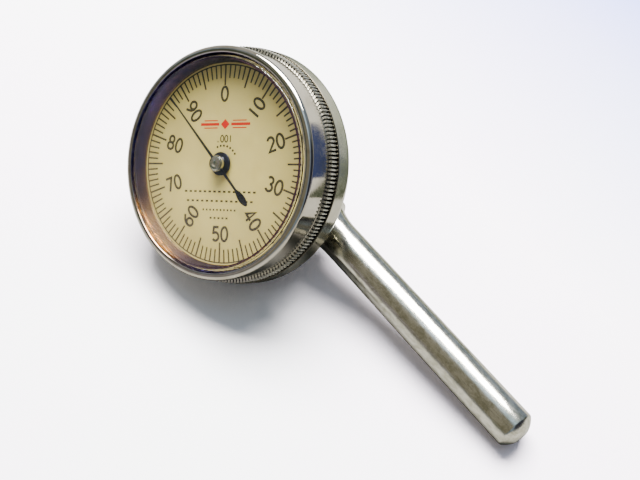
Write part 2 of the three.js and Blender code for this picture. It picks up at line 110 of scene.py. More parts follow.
def in_metres(local):
    """A matrix in the instrument's millimetres as one in the frame's metres."""
    metres = local.copy()
    metres.translation = local.translation * MM
    return AXES @ metres


# ------------------------------------------------------------------ profiles and meshes

def arc_points(centre, radius, start, end, steps):
    return [
        (centre[0] + radius * math.cos(start + (end - start) * i / steps),
         centre[1] + radius * math.sin(start + (end - start) * i / steps))
        for i in range(steps + 1)
    ]


def filleted(corners, closed=True, steps=6):
    """A profile from corners (radius, z) or (radius, z, fillet), each fillet turned into an arc."""
    points = []
    count = len(corners)
    for i, corner in enumerate(corners):
        here = Vector(corner[:2])
        fillet = corner[2] if len(corner) > 2 else 0
        if not fillet or (not closed and i in (0, count - 1)):
            points.append(tuple(here))
            continue
        before = (Vector(corners[i - 1][:2]) - here).normalized()
        after = (Vector(corners[(i + 1) % count][:2]) - here).normalized()
        half = before.angle(after) / 2
        centre = here + (before + after).normalized() * (fillet / math.sin(half))
        first = here + before * (fillet / math.tan(half)) - centre
        last = here + after * (fillet / math.tan(half)) - centre
        start = math.atan2(first.y, first.x)
        sweep = math.atan2(first.x * last.y - first.y * last.x, first.dot(last))
        points += arc_points(centre, fillet, start, start + sweep, steps)
    return points


def turned(profile, steps, closed=True, radius_at=None):
    """Vertices and faces of a profile turned about z. An open one starts and ends on the axis."""
    verts = []
    rows = []
    for r, z in profile:
        if r < 1e-9:
            rows.append([len(verts)])
            verts.append((0, 0, z))
            continue
        rows.append(range(len(verts), len(verts) + steps))
        for i in range(steps):
            angle = TAU * i / steps
            radius = radius_at(r, z, angle) if radius_at else r
            verts.append((radius * math.cos(angle), radius * math.sin(angle), z))
    pairs = list(zip(rows, rows[1:]))
    if closed:
        pairs.append((rows[-1], rows[0]))
    faces = []
    for low, high in pairs:
        for i in range(steps):
            j = (i + 1) % steps
            ring = (low[i % len(low)], low[j % len(low)], high[j % len(high)], high[i % len(high)])
            faces.append(tuple(dict.fromkeys(ring)))
    return verts, faces


def prism(outline, low, high):
    """A closed prism over a flat outline of (x, y) points."""
    count = len(outline)
    verts = [(x, y, low) for x, y in outline] + [(x, y, high) for x, y in outline]
    faces = [tuple(reversed(range(count))), tuple(range(count, 2 * count))]
    faces += [(i, (i + 1) % count, count + (i + 1) % count, count + i) for i in range(count)]
    return verts, faces


def ribbon(points, width, low, high, closed=False):
    """A flat stroke of even width along a line of (x, y) points, as a closed strip."""
    line = [Vector(p) for p in points]
    count = len(line)
    sides = []
    for i, here in enumerate(line):
        before = line[i - 1] if closed or i else here
        after = line[(i + 1) % count] if closed or i < count - 1 else here
        into = (here - before).normalized() if here != before else (after - here).normalized()
        out = (after - here).normalized() if here != after else into
        along = (into + out).normalized() if (into + out).length > 1e-6 else into
        across = Vector((-along.y, along.x))
        reach = width / 2 / max(0.5, across.dot(Vector((-into.y, into.x))))
        sides.append((here + across * reach, here - across * reach))
    verts = []
    for left, right in sides:
        verts += [(*left, low), (*right, low), (*right, high), (*left, high)]
    faces = []
    for i in range(count if closed else count - 1):
        a, b = 4 * i, 4 * ((i + 1) % count)
        faces += [(a + k, a + (k + 1) % 4, b + (k + 1) % 4, b + k) for k in range(4)]
    if not closed:
        last = 4 * (count - 1)
        faces += [(3, 2, 1, 0), (last, last + 1, last + 2, last + 3)]
    return verts, faces


class Shape:
    """Vertices and faces gathered from several parts of one piece."""

    def __init__(self, *parts):
        self.verts = []
        self.faces = []
        for part in parts:
            self.add(part)

    def add(self, part):
        verts, faces = part
        base = len(self.verts)
        self.verts += verts
        self.faces += [tuple(base + i for i in face) for face in faces]

    def place(self, name, body, material, slot, replaces=(), local=None, sharp=35):
        """Makes the piece, in the instrument's axes or in local, a matrix within them."""
        mesh = bpy.data.meshes.new(name)
        turn = in_metres(local) if local else AXES
        mesh.from_pydata([tuple(turn @ (Vector(v) * MM)) for v in self.verts], [], self.faces)
        mesh.validate()
        mesh.shade_smooth()
        mesh.set_sharp_from_angle(angle=math.radians(sharp))
        mesh.materials.append(material)
        piece = bpy.data.objects.new(name, mesh)
        bpy.context.collection.objects.link(piece)
        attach(piece, body)
        if replaces:
            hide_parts(*replaces)
        return piece


# ------------------------------------------------------------------ materials

class Material:
    """A procedural material on one Principled shader, with short calls for its nodes."""

    def __init__(self, name, axes=None, **values):
        self.axes = axes or AXES
        self.material = bpy.data.materials.new(name)
        self.material.use_nodes = True
        self.tree = self.material.node_tree
        self.shader = self.tree.nodes["Principled BSDF"]
        for key, value in values.items():
            self.shader.inputs[key.replace("_", " ")].default_value = value

    def node(self, kind, settings=None, **inputs):
        made = self.tree.nodes.new(kind)
        for key, value in (settings or {}).items():
            setattr(made, key, value)
        for key, value in inputs.items():
            self.feed(made.inputs[key.replace("_", " ")], value)
        return made

    def feed(self, socket, value):
        if isinstance(value, bpy.types.NodeSocket):
            self.tree.links.new(value, socket)
        else:
            socket.default_value = value

    def math(self, operation, a, b=0.0):
        made = self.tree.nodes.new("ShaderNodeMath")
        made.operation = operation
        self.feed(made.inputs[0], a)
        self.feed(made.inputs[1], b)
        return made.outputs[0]

    def spot(self):
        """The point on the piece, in millimetres in the material's axes."""
        coordinate = self.tree.nodes.new("ShaderNodeTexCoord").outputs["Object"]
        return self.node("ShaderNodeMapping", {"vector_type": "TEXTURE"}, Vector=coordinate,
                         Location=self.axes.translation, Rotation=self.axes.to_euler("XYZ"),
                         Scale=(MM, MM, MM)).outputs[0]

    def stretched(self, vector, scale):
        return self.node("ShaderNodeMapping", None, Vector=vector, Scale=scale).outputs[0]

    def polar_spot(self, vector):
        """(radius, turn of the angle, z), for marks that run round the axis."""
        part = self.node("ShaderNodeSeparateXYZ", None, Vector=vector)
        x, y, z = part.outputs
        radius = self.math("SQRT", self.math("ADD", self.math("MULTIPLY", x, x),
                                             self.math("MULTIPLY", y, y)))
        angle = self.math("ARCTAN2", y, x)
        return self.node("ShaderNodeCombineXYZ", None, X=radius, Y=angle, Z=z).outputs[0]

    def noise(self, vector, scale, detail=3.0, roughness=0.55, distortion=0.0):
        return self.node("ShaderNodeTexNoise", None, Vector=vector, Scale=scale, Detail=detail,
                         Roughness=roughness, Distortion=distortion).outputs["Fac"]

    def between(self, value, low, high, to_low=0.0, to_high=1.0):
        return self.node("ShaderNodeMapRange", None, Value=value, From_Min=low, From_Max=high,
                         To_Min=to_low, To_Max=to_high).outputs[0]

    def blend(self, share, first, second):
        made = self.node("ShaderNodeMix", {"data_type": "RGBA"})
        self.feed(made.inputs["Factor"], share)
        self.feed(made.inputs[6], first)
        self.feed(made.inputs[7], second)
        return made.outputs[2]

    def bump(self, height, strength, distance):
        made = self.node("ShaderNodeBump", None, Height=height, Strength=strength,
                         Distance=distance * MM)
        self.tree.links.new(made.outputs[0], self.shader.inputs["Normal"])

    def set(self, key, value):
        self.feed(self.shader.inputs[key], value)


def colour(red, green, blue):
    """An sRGB colour, 0 to 255, as a linear one."""
    def linear(channel):
        share = channel / 255
        return share / 12.92 if share <= 0.04045 else ((share + 0.055) / 1.055) ** 2.4
    return (linear(red), linear(green), linear(blue), 1)


def metal(name, tint, stain, roughness, grain, round_axis=False, wear=0.5, darker_front_edge=False):
    """Plated or bare metal: cloudy stains, hazy patches and fine scratches stretched by grain.

    With darker_front_edge, the case is darker along the front edge that meets the knurl.
    """
    m = Material(name, Metallic=1.0)
    spot = m.spot()
    cloud = m.noise(spot, 0.25, 4, 0.6, 0.4)
    haze = m.noise(spot, 1.3, 5, 0.65)
    lines = m.stretched(m.polar_spot(spot) if round_axis else spot, grain)
    scratch = m.noise(lines, 1.0, 6, 0.7)
    pits = m.between(m.noise(spot, 5.5, 2, 0.5), 0.68, 0.8)
    shade = m.blend(m.between(cloud, 0.42, 0.72, 0, wear), tint, stain)
    # Darker along the front edge that meets the knurl.
    if darker_front_edge:
        height = m.node("ShaderNodeSeparateXYZ", None, Vector=spot).outputs[2]
        shade = m.blend(m.between(height, CASE_SHOULDER - 0.25, CASE_SHOULDER - 0.05), shade,
                        colour(70, 66, 56))
    m.set("Base Color", shade)
    rough = m.math("ADD", m.between(haze, 0.35, 0.75, roughness * 0.7, roughness * 1.5),
                   m.math("MULTIPLY", pits, 0.12))
    m.set("Roughness", rough)
    m.bump(m.math("SUBTRACT", scratch, m.math("MULTIPLY", pits, 0.5)), 0.35, 0.004)
    return m.material


def bezel_nickel():
    """Polished nickel. Its flared inner wall carries painted reflections: violet above, mauve and
    gold below left, cream from the dial at its foot.
    """
    m = Material("bezel_nickel", Metallic=1.0)
    spot = m.spot()
    polar = m.polar_spot(spot)
    radius, angle, height = m.node("ShaderNodeSeparateXYZ", None, Vector=polar).outputs
    cloud = m.noise(spot, 0.3, 4, 0.6, 0.4)
    haze = m.noise(spot, 1.3, 5, 0.65)
    scratch = m.noise(m.stretched(polar, (6, 0.8, 6)), 1.0, 6, 0.7)
    outside = m.blend(m.between(cloud, 0.42, 0.72, 0, 0.5), colour(180, 175, 164),
                      colour(138, 127, 106))
    # Painted reflections of the dark room on the inner wall: violet above, mauve below left.
    painted_violet_reflection = m.blend(m.between(haze, 0.4, 0.65), colour(42, 38, 104), colour(88, 70, 112))
    painted_mauve_reflection = m.blend(m.between(haze, 0.4, 0.65), colour(84, 66, 56), colour(92, 72, 42))
    low_left = m.math("COSINE", m.math("SUBTRACT", angle, math.radians(-138)))
    painted_wall_reflection = m.blend(m.between(low_left, 0.72, 0.97), painted_violet_reflection, painted_mauve_reflection)
    # Painted gold glints, reflections of the dial, low on the wall at the lower left.
    painted_gold_glint = m.math("MULTIPLY", m.between(m.noise(spot, 0.8, 4), 0.44, 0.56),
                   m.between(low_left, 0.9, 0.98))
    painted_gold_glint = m.math("MULTIPLY", painted_gold_glint, m.between(height, 1.3, 1.9, 0, 0.8))
    painted_wall_reflection = m.blend(painted_gold_glint, painted_wall_reflection, colour(186, 124, 56))
    inside = m.math("MULTIPLY", m.between(radius, 17.42, 17.2), m.between(height, -0.3, 0.0))
    # The foot of the wall gets a painted cream reflection of the dial.
    foot = m.math("MULTIPLY", inside, m.between(height, 0.45, 0.15))
    shade = m.blend(inside, outside, painted_wall_reflection)
    m.set("Base Color", m.blend(m.math("MULTIPLY", foot, 0.8), shade, colour(160, 134, 92)))
    m.set("Roughness", m.math("ADD", m.between(haze, 0.35, 0.75, 0.05, 0.12),
                              m.math("MULTIPLY", inside, 0.1)))
    m.bump(scratch, 0.3, 0.002)
    return m.material


def stem_steel():
    """Ground steel of the stem: long fine scratches, faint waves and greenish-brown blotches."""
    m = Material("ground_stem", axes=in_metres(STEM_AXES), Metallic=1.0)
    spot = m.spot()
    blotch = m.noise(m.stretched(spot, (1, 1, 0.55)), 0.9, 6, 0.7, 0.6)
    fine = m.noise(m.stretched(spot, (5, 5, 0.8)), 1.0, 6, 0.75)
    scratch = m.noise(m.stretched(spot, (9, 9, 0.3)), 1.0, 5, 0.7)
    base = m.blend(m.between(blotch, 0.42, 0.62, 0, 0.75), colour(204, 201, 190),
                   colour(150, 148, 128))
    m.set("Base Color", m.blend(m.between(fine, 0.52, 0.66, 0, 0.6), base, colour(126, 126, 112)))
    m.set("Roughness", m.between(fine, 0.35, 0.7, 0.1, 0.26))
    waves = m.math("MULTIPLY", m.noise(m.stretched(spot, (1, 1, 0.5)), 0.8, 3), 1.6)
    m.bump(m.math("ADD", m.math("MULTIPLY", scratch, 0.5), m.math("ADD", fine, waves)), 0.35, 0.02)
    return m.material


def coin_nickel():
    """The knurl's nickel, nearly black down between the ridges."""
    m = Material("coin_nickel", Metallic=1.0)
    spot = m.spot()
    angle = m.node("ShaderNodeSeparateXYZ", None, Vector=m.polar_spot(spot)).outputs[1]
    ridge = m.math("ABSOLUTE", m.math("COSINE", m.math("MULTIPLY", angle, RIDGES / 2)))
    patch = m.between(m.noise(spot, 0.35, 3), 0.35, 0.65, 0.72, 0.86)
    # Nearly black down between the ridges.
    dark_ridge_gaps = m.node("ShaderNodeMapRange", None, Value=ridge, From_Min=0.42, From_Max=patch,
                   To_Min=1.0, To_Max=0.0).outputs[0]
    m.set("Base Color", m.blend(dark_ridge_gaps, colour(204, 202, 192), colour(10, 10, 9)))
    m.set("Roughness", m.between(m.noise(spot, 2.0, 3), 0.3, 0.7, 0.2, 0.34))
    return m.material


def enamel():
    """The dial's aged cream enamel: faint clouds, and painted shade of the bezel that makes it a
    little yellower and darker to the rim.
    """
    m = Material("cream_enamel", IOR=1.5)
    spot = m.spot()
    radius = m.node("ShaderNodeSeparateXYZ", None, Vector=m.polar_spot(spot)).outputs[0]
    cloud = m.noise(spot, 0.22, 4, 0.55, 0.3)
    grit = m.noise(spot, 6.0, 3, 0.6)
    base = m.blend(m.between(cloud, 0.35, 0.7), colour(138, 125, 68), colour(132, 117, 60))
    # Painted shade of the bezel: a little yellower and darker towards the rim.
    rim = m.between(radius, 7.0, 16.0, 0.0, 0.6)
    base = m.blend(rim, base, colour(108, 95, 40))
    m.set("Base Color", m.blend(m.between(grit, 0.62, 0.8, 0, 0.3), base, colour(116, 96, 50)))
    m.set("Roughness", m.between(cloud, 0.3, 0.7, 0.42, 0.55))
    m.bump(m.noise(spot, 2.2, 4), 0.15, 0.01)
    return m.material


def ink(name, dark, worn):
    """Printing ink, thinner and paler in patches."""
    m = Material(name, IOR=1.5, Specular_IOR_Level=0.15)
    spot = m.spot()
    m.set("Base Color", m.blend(m.between(m.noise(spot, 3.0, 4), 0.4, 0.75), dark, worn))
    m.set("Roughness", m.between(m.noise(spot, 8.0), 0.3, 0.7, 0.4, 0.6))
    return m.material


def clear_plastic():
    """The crystal: clear, with hairline scratches that only dull it a little."""
    m = Material("clear_crystal", Base_Color=(0.97, 0.98, 0.97, 1), IOR=1.49,
                 Transmission_Weight=1.0)
    spot = m.spot()
    hair = m.noise(m.stretched(spot, (0.4, 7.0, 1.0)), 1.0, 5, 0.7)
    m.set("Roughness", m.between(hair, 0.55, 0.8, 0.0, 0.05))
    return m.material


def blued():
    """Blued steel, nearly black."""
    m = Material("blued_steel", Metallic=0.85)
    spot = m.spot()
    m.set("Base Color", m.blend(m.noise(spot, 0.8, 3), colour(14, 17, 34), colour(25, 26, 34)))
    m.set("Roughness", m.between(m.noise(spot, 4.0, 3), 0.3, 0.7, 0.25, 0.42))
    return m.material


def jewel():
    """The red stone of the jewelled bushes."""
    m = Material("ruby_jewel", IOR=1.76)
    spot = m.spot()
    m.set("Base Color", m.blend(m.noise(spot, 1.5, 2), colour(120, 8, 28), colour(160, 20, 45)))
    m.set("Roughness", m.between(m.noise(spot, 5.0), 0.3, 0.7, 0.05, 0.12))
    return m.material


FLOOR_BOUNCE = (0.2, 0.195, 0.178, 1)


def paper():
    """The pale floor, bluish far off. Bounced and mirrored light sees it dimmer than the camera."""
    m = Material("pale_floor", axes=Matrix.Identity(4), Specular_IOR_Level=0.1)
    spot = m.spot()
    cloud = m.noise(spot, 0.012, 3, 0.5)
    seen = m.blend(m.between(cloud, 0.35, 0.65), colour(250, 238, 252), colour(246, 245, 248))
    far = m.node("ShaderNodeSeparateXYZ", None, Vector=spot).outputs[1]
    bluish = m.math("MULTIPLY", m.between(far, 35, 110), m.between(far, 300, 150))
    seen = m.blend(bluish, seen, colour(128, 142, 212))
    direct = m.node("ShaderNodeLightPath").outputs["Is Camera Ray"]
    m.set("Base Color", m.blend(direct, FLOOR_BOUNCE, seen))
    m.set("Roughness", m.between(m.noise(spot, 0.8, 3), 0.3, 0.7, 0.75, 0.9))
    return m.material


NICKEL = bezel_nickel()
COIN = coin_nickel()
SATIN = metal("satin_nickel", colour(182, 180, 168), colour(136, 130, 108), 0.14, (8, 0.8, 8),
              round_axis=True, darker_front_edge=True)
STEM_STEEL = stem_steel()
BOSS = metal("bright_boss", colour(176, 176, 170), colour(128, 118, 104), 0.08, (6, 0.8, 6),
             round_axis=True, wear=0.3)
STEEL = metal("hardened_steel", colour(168, 168, 170), colour(120, 116, 110), 0.18, (6, 6, 6))
BRASS = metal("movement_brass", colour(205, 172, 96), colour(150, 118, 60), 0.2, (5, 5, 5))
ENAMEL = enamel()
INK = ink("printed_ink", colour(14, 10, 6), colour(34, 26, 14))
# A painted dark line that stands for the refraction at the crystal's shoulder.
PAINTED_EDGE_INK = ink("edge_grime", colour(24, 12, 26), colour(58, 38, 36))
RED_INK = ink("red_ink", colour(126, 5, 2), colour(140, 14, 6))
CRYSTAL = clear_plastic()
BLUED = blued()
RUBY = jewel()


# ------------------------------------------------------------------ bezel, crystal and dial

KNURL_FRONT = -2.0
KNURL_ROOT = 18.5
KNURL_TIP = 19.0
KNURL_INNER = 18.3
KNURL_EASE = 0.12                      # depth over which the ridges rise to full height at the back


def bezel():
    """The polished ring: flared inner wall, rounded crest, straight side band, shallow groove.

    The points just inside the ends of the band keep its smooth shading straight.
    """
    groove = 18.37
    corners = [
        (BEZEL_BORE, BEZEL_BACK), (BEZEL_RADIUS, BEZEL_BACK, 0.05), (BEZEL_RADIUS, -1.95, 0.03),
        (groove, -1.85, 0.03), (groove, -1.65, 0.03), (BEZEL_RADIUS, -1.55, 0.03),
        (BEZEL_RADIUS, -1.45), (BEZEL_RADIUS, 2.1), (BEZEL_RADIUS, CREST, 0.72),
        (17.3, CREST, 0.3), (17.1, 2.42, 0.3), (15.95, 0.04, 0.04), (16.6, 0.04), (16.6, -0.52),
        (17.2, -0.52), (17.2, -1.05), (BEZEL_BORE, -1.05), (BEZEL_BORE, SPRING_FRONT),
        (17.35, SPRING_FRONT), (17.35, SPRING_BACK), (BEZEL_BORE, SPRING_BACK),
    ]
    Shape(turned(filleted(corners, steps=7), ROUND)).place(
        "bezel_body", "bezel", NICKEL, "polished_bezel", ["bezel_ring"], sharp=40)


def coin_edge():
    """The knurled band: one rounded ridge a pitch, a little lower at the back of the band."""
    def ridge(r, z, angle):
        if r < KNURL_ROOT - 0.01:
            return r
        fade = min(1.0, 0.8 + 0.2 * (z - BEZEL_BACK) / KNURL_EASE)
        swell = abs(math.cos(angle * RIDGES / 2)) ** 0.8
        return KNURL_ROOT + (KNURL_TIP - KNURL_ROOT) * fade * swell

    rows = 10
    outside = [
        (KNURL_ROOT, BEZEL_BACK + (KNURL_FRONT - BEZEL_BACK) * i / rows)
        for i in range(rows + 1)
    ]
    profile = [(KNURL_INNER, BEZEL_BACK), *outside, (KNURL_INNER, KNURL_FRONT)]
    Shape(turned(profile, RIDGES * 8, radius_at=ridge)).place(
        "bezel_coin_edge", "bezel", COIN, "polished_bezel", sharp=60)


def crystal():
    """The clear crystal: nearly flat, with a rounded shoulder that sits on the flared wall."""
    corners = [
        (0, 2.3), (14.5, 2.2), (16.4, 2.1, 0.1), (16.78, 2.0, 0.05), (16.9, 2.25, 0.1),
        (16.72, 2.84, 0.22), (13.0, 2.98), (6.0, 3.07), (0, 3.1),
    ]
    piece = Shape(turned(filleted(corners, closed=False, steps=8), ROUND, closed=False)).place(
        "crystal_clear", "bezel", CRYSTAL, "clear_crystal", ["crystal"], sharp=50)
    piece.visible_shadow = False


def dial():
    """The flat dial plate with its centre hole."""
    hole, thickness = 1.4, 0.5
    corners = [(hole, -thickness), (DIAL_RADIUS, -thickness), (DIAL_RADIUS, 0), (hole, 0, 0.08)]
    Shape(turned(filleted(corners), ROUND)).place(
        "dial_face", "bezel", ENAMEL, "printed_dial", ["dial_plate"])


PRINT_LOW = 0.0
PRINT_HIGH = 0.015
TICK_OUT = 15.65
TICK_SHORT = 13.55
TICK_LONG = 12.45
NUMERAL_HEIGHT = 2.2
STROKE = 0.4


def clockwise(radius, hundredths):
    """The point at a radius and a dial reading."""
    angle = TAU * hundredths / 100
    return radius * math.sin(angle), radius * math.cos(angle)


def graduations():
    """100 divisions, longer at every fifth, and the thin ring that their outer ends stand on."""
    shape = Shape(ribbon([clockwise(TICK_OUT, i / 2) for i in range(200)], 0.2, PRINT_LOW,
                         PRINT_HIGH, closed=True))
    for reading in range(100):
        inner = TICK_SHORT if reading % 5 else TICK_LONG
        width = 0.26 if reading % 5 else 0.3
        line = [clockwise(inner, reading), clockwise(TICK_OUT, reading)]
        shape.add(ribbon(line, width, PRINT_LOW, PRINT_HIGH))
    shape.place("dial_graduations", "bezel", INK, "printed_dial")


def oval(cx, cy, rx, ry, start=0, end=360, steps=20):
    """Points of an oval arc, in degrees anticlockwise from 3 o'clock."""
    return [
        (cx + rx * math.cos(math.radians(start + (end - start) * i / steps)),
         cy + ry * math.sin(math.radians(start + (end - start) * i / steps)))
        for i in range(steps + 1)
    ]


# Each digit is a list of strokes in a box one unit high, centred on the origin.
DIGITS = {
    "0": [oval(0, 0, 0.28, 0.5, steps=28)],
    "1": [[(0, -0.5), (0, 0.5)]],
    "2": [oval(0, 0.23, 0.26, 0.27, 165, -25) + [(-0.27, -0.48), (0.29, -0.48)]],
    "3": [oval(-0.02, 0.26, 0.23, 0.24, 150, -90), oval(-0.02, -0.24, 0.28, 0.26, 90, -155)],
    "4": [[(0.12, -0.5), (0.12, 0.5), (-0.29, -0.2), (0.32, -0.2)]],
    "5": [[(0.25, 0.48), (-0.18, 0.48), (-0.23, 0.06)] + oval(-0.02, -0.2, 0.28, 0.3, 118, -145)],
    "6": [[(0.2, 0.5)] + oval(0.12, -0.16, 0.4, 0.52, 128, 180, 8),
          oval(0, -0.2, 0.27, 0.3, steps=24)],
    "7": [[(-0.27, 0.48), (0.27, 0.48), (-0.1, -0.5)]],
    "8": [oval(0, 0.25, 0.22, 0.25, steps=24), oval(0, -0.24, 0.27, 0.26, steps=24)],
    "9": [[(-0.2, -0.5)] + oval(-0.12, 0.16, 0.4, 0.52, -52, 0, 8),
          oval(0, 0.2, 0.27, 0.3, steps=24)],
    ".": [oval(0, -0.44, 0.03, 0.03, steps=8)],
}
ADVANCE = 0.78


def lettering(shape, text, centre, turn, height, stroke):
    """Adds digits about a centre, their baseline turned anticlockwise by turn."""
    cos, sin = math.cos(turn), math.sin(turn)
    for i, digit in enumerate(text):
        offset = (i - (len(text) - 1) / 2) * ADVANCE
        for line in DIGITS[digit]:
            moved = [((x + offset) * height, y * height) for x, y in line]
            points = [
                (centre[0] + x * cos - y * sin, centre[1] + x * sin + y * cos) for x, y in moved
            ]
            closed = (Vector(points[0]) - Vector(points[-1])).length < 1e-6
            path = points[:-1] if closed else points
            shape.add(ribbon(path, stroke, PRINT_LOW, PRINT_HIGH, closed))


def numerals():
    """0 and 50 stand upright, and the others run along the radius, upright to a reader."""
    shape = Shape()
    for tens in range(10):
        reading = tens * 10
        if tens % 5 == 0:
            lettering(shape, str(reading), clockwise(11.1, reading), 0, NUMERAL_HEIGHT, STROKE)
            continue
        outward = math.pi / 2 - TAU * reading / 100
        turn = outward if tens < 5 else outward + math.pi
        radius = 10.7 if tens < 5 else 10.45
        lettering(shape, str(reading), clockwise(radius, reading), turn, NUMERAL_HEIGHT, STROKE)
    lettering(shape, ".001", (0.2, 4.0), 0, 1.05, 0.19)
    shape.place("dial_numerals", "bezel", INK, "printed_dial")


def ornaments():
    """Plain printed marks: red rules about a lozenge, a dotted arc, and rows of short dashes."""
    red = Shape()
    middle, level = 0.3, 6.3
    for side in (-1, 1):
        for rise, start, end, width in ((0, 1.2, 4.9, 0.42), (-0.58, 1.5, 4.2, 0.17),
                                        (0.58, 1.5, 4.2, 0.17)):
            line = [(middle + side * start, level + rise), (middle + side * end, level + rise)]
            red.add(ribbon(line, width, PRINT_LOW, PRINT_HIGH))
    lozenge = [(middle + 0.85, level), (middle, level + 0.8), (middle - 0.85, level),
               (middle, level - 0.8)]
    red.add(prism(lozenge, PRINT_LOW, PRINT_HIGH))
    red.place("dial_red_rule", "bezel", RED_INK, "printed_dial")
    dark = Shape()
    arc_radius, dot_radius = 2.9, 0.19
    for i in range(7):
        angle = math.radians(112 - 13 * i)
        dot = oval(arc_radius * math.cos(angle), arc_radius * math.sin(angle), dot_radius,
                   dot_radius, steps=12)
        dark.add(prism(dot[:-1], PRINT_LOW, PRINT_HIGH))
    for height, half, dash, pitch in ((-4.4, 6.9, 0.52, 0.98), (-5.9, 6.3, 0.48, 0.98),
                                      (-7.3, 3.2, 0.3, 0.7), (-8.6, 1.6, 0.4, 0.8)):
        count = round(2 * half / pitch)
        for i in range(count + 1):
            x = (i - count / 2) * pitch - 0.4
            line = [(x - dash / 2, height), (x + dash / 2, height)]
            dark.add(ribbon(line, 0.3, PRINT_LOW, PRINT_HIGH))
    dark.place("dial_dark_marks", "bezel", INK, "printed_dial")


def edge_grime():
    """A painted dark line, tapered, by the crystal's edge from 12:20 round the right side to 6:20,
    standing for the dark refraction at the crystal's shoulder.
    """
    line_radius = 16.38
    low, high = CREST - 0.08, CREST - 0.005
    steps = 118
    rims = {1: [], -1: []}
    for i in range(steps + 1):
        angle = math.radians(80 - 180 * i / steps)
        half = 0.03 + 0.15 * math.sin(math.pi * i / steps) ** 0.5 + 0.02 * math.sin(i * 1.7)
        for side, rim in rims.items():
            radius = line_radius + side * half
            rim.append((radius * math.cos(angle), radius * math.sin(angle)))
    outline = rims[1] + rims[-1][::-1]
    Shape(prism(outline, low, high)).place("crystal_painted_edge_line", "bezel", PAINTED_EDGE_INK, "printed_dial")


# ------------------------------------------------------------------ pointer

POINTER_LOW = 1.4
POINTER_READING = 88                   # divisions


def needle():
    """The tapered blade with a ridge and a spear-shaped tail, pointing along x."""
    tail, widest = -5.7, -7.4              # where the needle starts to widen, and where it stops
    half = [(14.7, 0.09), (4.0, 0.2), (1.2, 0.25), (tail, 0.2)]
    for t in (0.2, 0.4, 0.6, 0.8, 1.0):
        half.append((tail + (widest - tail) * t, 0.2 + 0.42 * math.sin(t * math.pi / 2)))
    for t in (0.2, 0.4, 0.6, 0.8, 0.92, 1.0):
        half.append((widest - 1.55 * t, 0.14 + 0.48 * (1 - t ** 2.4)))
    verts = []
    for x, y in half:
        ridge = 0.05 + 0.08 * min(1, y / 0.3)
        verts += [(x, y, POINTER_LOW), (x, y, POINTER_LOW + 0.06), (x, 0, POINTER_LOW + ridge),
                  (x, -y, POINTER_LOW + 0.06), (x, -y, POINTER_LOW)]
    faces = []
    for i in range(len(half) - 1):
        a, b = 5 * i, 5 * (i + 1)
        faces += [(b + k, b + (k + 1) % 5, a + (k + 1) % 5, a + k) for k in range(5)]
    last = 5 * (len(half) - 1)
    faces += [(0, 1, 2, 3, 4), tuple(last + k for k in (4, 3, 2, 1, 0))]
    return verts, faces


def pointer():
    """The needle on its flange, with a boss and a domed cap."""
    bore, boss_radius, boss_foot = 0.45, 1.27, 0.84
    flange = filleted([(bore, 0.3), (1.87, 0.3, 0.05), (1.87, 0.62, 0.1),
                       (boss_radius, boss_foot, 0.1), (bore, boss_foot)])
    turn = Matrix.Rotation(math.pi / 2 - TAU * POINTER_READING / 100, 4, "Z")
    Shape(needle(), turned(flange, ROUND_SMALL)).place(
        "pointer_needle", "centre", BLUED, "blued_steel", ["pointer"], local=turn)
    boss = filleted([(bore, boss_foot), (boss_radius, boss_foot), (boss_radius, 1.72, 0.1),
                     (bore, 1.72)])
    Shape(turned(boss, ROUND_SMALL)).place("pointer_boss", "centre", BOSS, "hardened_steel")
    cap = filleted([(0, 1.5), (0.4, 1.5), (0.4, 1.8), (1.12, 1.8, 0.03), (1.16, 1.9, 0.05),
                    (0.92, 2.02, 0.1), (0.62, 1.97, 0.1), (0.3, 2.1, 0.15), (0, 2.12)],
                   closed=False)
    Shape(turned(cap, ROUND_SMALL, closed=False)).place(
        "pointer_hub_cap", "centre", BOSS, "hardened_steel", ["pointer_cap"])


# ------------------------------------------------------------------ case, housing, stem and barrel

def case():
    """The round case: a straight band, a rounded back rim and the neck that the bezel turns on.

    The points just inside the ends of the band keep its smooth shading straight.
    """
    groove, bore, inside_back = 16.5, 15.6, -6.25
    corners = [
        (HOUSING_BORE, CASE_BACK), (CASE_RADIUS, CASE_BACK, 2.0), (CASE_RADIUS, -6.1),
        (CASE_RADIUS, -3.9), (CASE_RADIUS, CASE_SHOULDER, 0.12), (NECK_RADIUS, CASE_SHOULDER),
        (NECK_RADIUS, SPRING_BACK), (groove, SPRING_BACK), (groove, SPRING_FRONT),
        (NECK_RADIUS, SPRING_FRONT), (NECK_RADIUS, -1.2), (bore, -1.2), (bore, inside_back),
        (HOUSING_BORE, inside_back),
    ]
    Shape(turned(filleted(corners, steps=12), ROUND)).place(
        "case_shell", "case", SATIN, "satin_case", ["case_body"], sharp=40)


def housing():
    """The cup behind the case, with a recess round the hole for the barrel."""
    recess, hole = 3.205, 2.65
    flange_back, flange_front = -9.15, -8.25
    corners = [
        (HOUSING_BORE, flange_front), (HOUSING_BORE, -15.0), (6.95, -16.8), (hole, -16.8),
        (hole, BARREL_SEAT),
        (recess, BARREL_SEAT), (recess, HOUSING_BACK), (7.95, HOUSING_BACK, 0.3),
        (HOUSING_RADIUS, -16.0, 0.3), (HOUSING_RADIUS, flange_back, 0.5),
        (16.4, flange_back, 0.25), (16.4, flange_front),
    ]
    Shape(turned(filleted(corners, steps=8), ROUND)).place(
        "housing_cup", "case", SATIN, "satin_case", ["rear_housing"], sharp=40)


